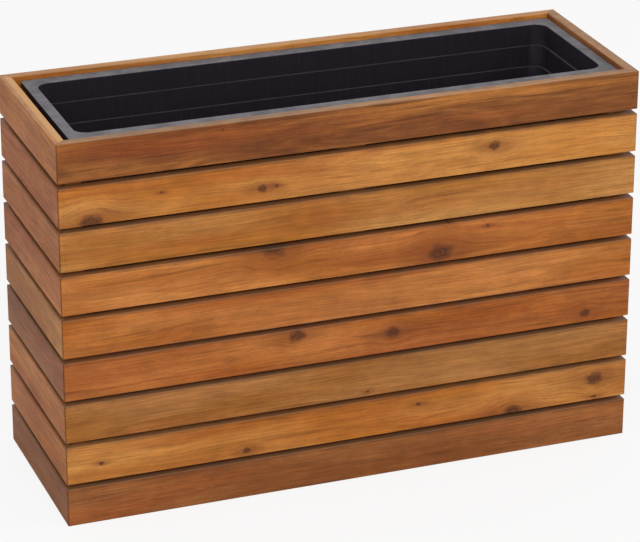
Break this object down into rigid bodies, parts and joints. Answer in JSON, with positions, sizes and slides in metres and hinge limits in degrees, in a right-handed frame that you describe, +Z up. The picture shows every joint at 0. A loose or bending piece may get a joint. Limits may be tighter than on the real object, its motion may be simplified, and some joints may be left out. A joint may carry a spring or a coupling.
{
  "type": "slatted wooden planter",
  "caption": "Oblong garden planter of horizontal hardwood slats, mitred at the corners, with a rimmed plastic liner that lifts straight out.",
  "frame": {"origin": "on the ground, under the middle of the box", "axes": "+X along the front, towards its right end; +Y from the front to the back; +Z up"},
  "size_m": [0.9, 0.31, 0.6],
  "materials": {
    "slat_wood": "oiled acacia",
    "frame_wood": "sawn and oiled",
    "liner_plastic": "black, satin",
    "brad_steel": "galvanised",
    "nail_steel": "galvanised"
  },
  "bodies": {
    "box": {"front_slat_1": "slat_wood", "front_slat_2": "slat_wood", "front_slat_3": "slat_wood", "front_slat_4": "slat_wood", "front_slat_5": "slat_wood", "front_slat_6": "slat_wood", "front_slat_7": "slat_wood", "front_slat_8": "slat_wood", "front_slat_9": "slat_wood", "back_slat_1": "slat_wood", "back_slat_2": "slat_wood", "back_slat_3": "slat_wood", "back_slat_4": "slat_wood", "back_slat_5": "slat_wood", "back_slat_6": "slat_wood", "back_slat_7": "slat_wood", "back_slat_8": "slat_wood", "back_slat_9": "slat_wood", "left_slat_1": "slat_wood", "left_slat_2": "slat_wood", "left_slat_3": "slat_wood", "left_slat_4": "slat_wood", "left_slat_5": "slat_wood", "left_slat_6": "slat_wood", "left_slat_7": "slat_wood", "left_slat_8": "slat_wood", "left_slat_9": "slat_wood", "right_slat_1": "slat_wood", "right_slat_2": "slat_wood", "right_slat_3": "slat_wood", "right_slat_4": "slat_wood", "right_slat_5": "slat_wood", "right_slat_6": "slat_wood", "right_slat_7": "slat_wood", "right_slat_8": "slat_wood", "right_slat_9": "slat_wood", "front_left_post": "frame_wood", "back_left_post": "frame_wood", "front_right_post": "frame_wood", "back_right_post": "frame_wood", "front_batten": "frame_wood", "back_batten": "frame_wood", "left_bearer": "frame_wood", "middle_bearer": "frame_wood", "right_bearer": "frame_wood", "shelf_slat_1": "frame_wood", "shelf_slat_2": "frame_wood", "shelf_slat_3": "frame_wood", "mitre_brads": "brad_steel", "post_brads": "brad_steel", "batten_brads": "brad_steel", "shelf_brads": "brad_steel", "bearer_nails": "nail_steel"},
    "liner": {"liner": "liner_plastic"}
  },
  "joints": [
    {"name": "liner_lift", "type": "slide", "parent": "box", "child": "liner", "axis": [0, 0, 1], "range_m": [0, 0.32]}
  ]
}
